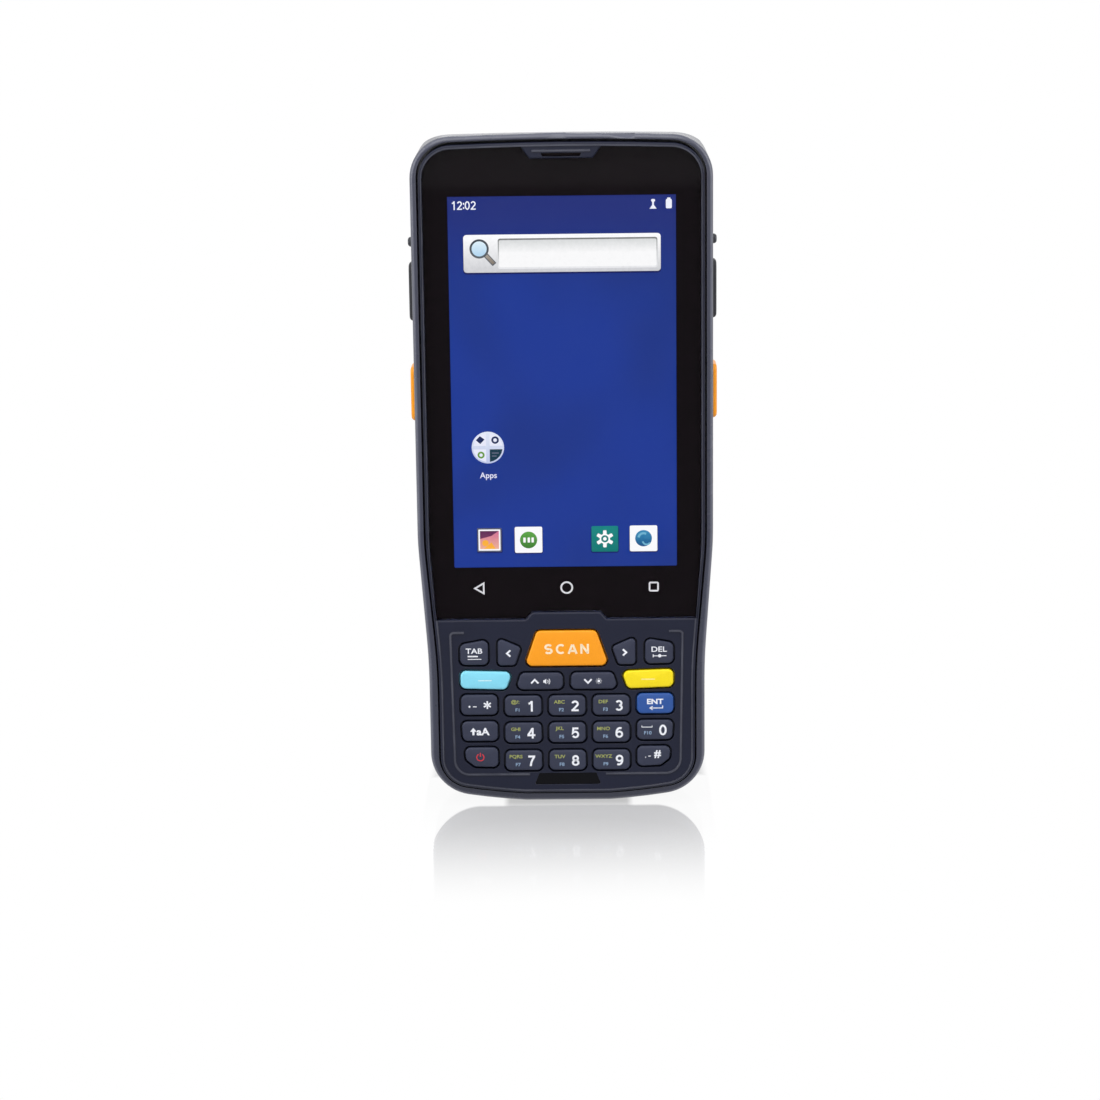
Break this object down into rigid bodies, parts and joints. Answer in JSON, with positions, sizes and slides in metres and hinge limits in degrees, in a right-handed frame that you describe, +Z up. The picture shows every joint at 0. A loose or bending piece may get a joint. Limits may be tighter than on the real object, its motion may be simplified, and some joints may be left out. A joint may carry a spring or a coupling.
{
  "type": "barcode data terminal",
  "caption": "Handheld barcode data terminal with a touch display above a full keypad, side triggers, a scan window in the top end and a hinged battery cover in the back.",
  "frame": {"origin": "centre of the foot, the flat land that the terminal stands on", "axes": "+Z up along the length, the display faces -Y, +X to the right seen from the display side"},
  "size_m": [0.0712, 0.026, 0.1584],
  "materials": {
    "front_plastic": "fine moulded satin, near-black navy",
    "rear_plastic": "fine spark-eroded texture, dark blue-grey",
    "key_plastic": "satin hard-coated key cap, dark grey",
    "orange_plastic": "satin orange",
    "cyan_plastic": "satin light cyan",
    "yellow_plastic": "satin yellow",
    "blue_plastic": "satin blue",
    "rubber_black": "matt overmoulded rubber",
    "gloss_black": "polished black",
    "inner_black": "matt black",
    "silicone": "translucent grey silicone",
    "cover_glass": "polished cover glass, printed black at its border",
    "scan_glass": "dark red polished window",
    "display_panel": "lit picture behind glass",
    "magnesium": "cast, passivated",
    "board": "green solder mask",
    "steel": "tinned sheet",
    "black_steel": "black oxide",
    "gold": "gold-plated",
    "pack_wrap": "printed film wrap"
  },
  "bodies": {
    "terminal": {"battery_contacts": "inner_black", "battery_pack": "pack_wrap", "board_screws": "steel", "card_holder": "steel", "display_module": "display_panel", "dock_contacts": "gold", "earpiece": "inner_black", "earpiece_mesh": "steel", "front_housing": "front_plastic", "housing_screws": "black_steel", "housing_seal": "silicone", "keypad_badge": "gloss_black", "keypad_board": "board", "keypad_membrane": "silicone", "main_board": "board", "metal_domes": "steel", "microphone": "steel", "mid_chassis": "magnesium", "port_board": "board", "rear_housing": "rear_plastic", "scan_engine": "inner_black", "scan_window": "scan_glass", "shield_cans": "steel", "side_switches": "inner_black", "speaker": "inner_black", "strap_studs": "inner_black", "touch_glass": "cover_glass", "usb_socket": "steel", "vibration_motor": "steel"},
    "key_0": {"key_0": "key_plastic"},
    "key_1": {"key_1": "key_plastic"},
    "key_2": {"key_2": "key_plastic"},
    "key_3": {"key_3": "key_plastic"},
    "key_4": {"key_4": "key_plastic"},
    "key_5": {"key_5": "key_plastic"},
    "key_6": {"key_6": "key_plastic"},
    "key_7": {"key_7": "key_plastic"},
    "key_8": {"key_8": "key_plastic"},
    "key_9": {"key_9": "key_plastic"},
    "key_cyan": {"key_cyan": "cyan_plastic"},
    "key_del": {"key_del": "key_plastic"},
    "key_down": {"key_down": "key_plastic"},
    "key_enter": {"key_enter": "blue_plastic"},
    "key_hash": {"key_hash": "key_plastic"},
    "key_left": {"key_left": "key_plastic"},
    "key_power": {"key_power": "key_plastic"},
    "key_right": {"key_right": "key_plastic"},
    "key_scan": {"key_scan": "orange_plastic"},
    "key_shift": {"key_shift": "key_plastic"},
    "key_star": {"key_star": "key_plastic"},
    "key_tab": {"key_tab": "key_plastic"},
    "key_up": {"key_up": "key_plastic"},
    "key_yellow": {"key_yellow": "yellow_plastic"},
    "trigger_left": {"trigger_left": "orange_plastic"},
    "trigger_right": {"trigger_right": "orange_plastic"},
    "side_key_left": {"side_key_left": "rubber_black"},
    "side_key_right": {"side_key_right": "rubber_black"},
    "battery_cover": {"battery_cover": "rear_plastic"},
    "cover_latch": {"cover_latch": "inner_black"}
  },
  "joints": [
    {"name": "key_0_press", "type": "slide", "parent": "terminal", "child": "key_0", "axis": [0, 1, 0], "range_m": [0, 0.0007], "stiffness_N_per_m": 400, "springref_m": -0.0005},
    {"name": "key_1_press", "type": "slide", "parent": "terminal", "child": "key_1", "axis": [0, 1, 0], "range_m": [0, 0.0007], "stiffness_N_per_m": 400, "springref_m": -0.0005},
    {"name": "key_2_press", "type": "slide", "parent": "terminal", "child": "key_2", "axis": [0, 1, 0], "range_m": [0, 0.0007], "stiffness_N_per_m": 400, "springref_m": -0.0005},
    {"name": "key_3_press", "type": "slide", "parent": "terminal", "child": "key_3", "axis": [0, 1, 0], "range_m": [0, 0.0007], "stiffness_N_per_m": 400, "springref_m": -0.0005},
    {"name": "key_4_press", "type": "slide", "parent": "terminal", "child": "key_4", "axis": [0, 1, 0], "range_m": [0, 0.0007], "stiffness_N_per_m": 400, "springref_m": -0.0005},
    {"name": "key_5_press", "type": "slide", "parent": "terminal", "child": "key_5", "axis": [0, 1, 0], "range_m": [0, 0.0007], "stiffness_N_per_m": 400, "springref_m": -0.0005},
    {"name": "key_6_press", "type": "slide", "parent": "terminal", "child": "key_6", "axis": [0, 1, 0], "range_m": [0, 0.0007], "stiffness_N_per_m": 400, "springref_m": -0.0005},
    {"name": "key_7_press", "type": "slide", "parent": "terminal", "child": "key_7", "axis": [0, 1, 0], "range_m": [0, 0.0007], "stiffness_N_per_m": 400, "springref_m": -0.0005},
    {"name": "key_8_press", "type": "slide", "parent": "terminal", "child": "key_8", "axis": [0, 1, 0], "range_m": [0, 0.0007], "stiffness_N_per_m": 400, "springref_m": -0.0005},
    {"name": "key_9_press", "type": "slide", "parent": "terminal", "child": "key_9", "axis": [0, 1, 0], "range_m": [0, 0.0007], "stiffness_N_per_m": 400, "springref_m": -0.0005},
    {"name": "key_cyan_press", "type": "slide", "parent": "terminal", "child": "key_cyan", "axis": [0, 1, 0], "range_m": [0, 0.0007], "stiffness_N_per_m": 400, "springref_m": -0.0005},
    {"name": "key_del_press", "type": "slide", "parent": "terminal", "child": "key_del", "axis": [0, 1, 0], "range_m": [0, 0.0007], "stiffness_N_per_m": 400, "springref_m": -0.0005},
    {"name": "key_down_press", "type": "slide", "parent": "terminal", "child": "key_down", "axis": [0, 1, 0], "range_m": [0, 0.0007], "stiffness_N_per_m": 400, "springref_m": -0.0005},
    {"name": "key_enter_press", "type": "slide", "parent": "terminal", "child": "key_enter", "axis": [0, 1, 0], "range_m": [0, 0.0007], "stiffness_N_per_m": 400, "springref_m": -0.0005},
    {"name": "key_hash_press", "type": "slide", "parent": "terminal", "child": "key_hash", "axis": [0, 1, 0], "range_m": [0, 0.0007], "stiffness_N_per_m": 400, "springref_m": -0.0005},
    {"name": "key_left_press", "type": "slide", "parent": "terminal", "child": "key_left", "axis": [0, 1, 0], "range_m": [0, 0.0007], "stiffness_N_per_m": 400, "springref_m": -0.0005},
    {"name": "key_power_press", "type": "slide", "parent": "terminal", "child": "key_power", "axis": [0, 1, 0], "range_m": [0, 0.0007], "stiffness_N_per_m": 400, "springref_m": -0.0005},
    {"name": "key_right_press", "type": "slide", "parent": "terminal", "child": "key_right", "axis": [0, 1, 0], "range_m": [0, 0.0007], "stiffness_N_per_m": 400, "springref_m": -0.0005},
    {"name": "key_scan_press", "type": "slide", "parent": "terminal", "child": "key_scan", "axis": [0, 1, 0], "range_m": [0, 0.0007], "stiffness_N_per_m": 400, "springref_m": -0.0005},
    {"name": "key_shift_press", "type": "slide", "parent": "terminal", "child": "key_shift", "axis": [0, 1, 0], "range_m": [0, 0.0007], "stiffness_N_per_m": 400, "springref_m": -0.0005},
    {"name": "key_star_press", "type": "slide", "parent": "terminal", "child": "key_star", "axis": [0, 1, 0], "range_m": [0, 0.0007], "stiffness_N_per_m": 400, "springref_m": -0.0005},
    {"name": "key_tab_press", "type": "slide", "parent": "terminal", "child": "key_tab", "axis": [0, 1, 0], "range_m": [0, 0.0007], "stiffness_N_per_m": 400, "springref_m": -0.0005},
    {"name": "key_up_press", "type": "slide", "parent": "terminal", "child": "key_up", "axis": [0, 1, 0], "range_m": [0, 0.0007], "stiffness_N_per_m": 400, "springref_m": -0.0005},
    {"name": "key_yellow_press", "type": "slide", "parent": "terminal", "child": "key_yellow", "axis": [0, 1, 0], "range_m": [0, 0.0007], "stiffness_N_per_m": 400, "springref_m": -0.0005},
    {"name": "trigger_left_press", "type": "slide", "parent": "terminal", "child": "trigger_left", "axis": [1, 0, 0], "range_m": [0, 0.0008], "stiffness_N_per_m": 600, "springref_m": -0.0005},
    {"name": "trigger_right_press", "type": "slide", "parent": "terminal", "child": "trigger_right", "axis": [-1, 0, 0], "range_m": [0, 0.0008], "stiffness_N_per_m": 600, "springref_m": -0.0005},
    {"name": "side_key_left_press", "type": "slide", "parent": "terminal", "child": "side_key_left", "axis": [1, 0, 0], "range_m": [0, 0.0008], "stiffness_N_per_m": 600, "springref_m": -0.0005},
    {"name": "side_key_right_press", "type": "slide", "parent": "terminal", "child": "side_key_right", "axis": [-1, 0, 0], "range_m": [0, 0.0008], "stiffness_N_per_m": 600, "springref_m": -0.0005},
    {"name": "cover_hinge", "type": "hinge", "parent": "terminal", "child": "battery_cover", "pos_m": [0, 0.01, 0.0915], "axis": [1, 0, 0], "range_deg": [0, 65]},
    {"name": "latch_slide", "type": "slide", "parent": "battery_cover", "child": "cover_latch", "axis": [0, 0, -1], "range_m": [0, 0.002]}
  ]
}
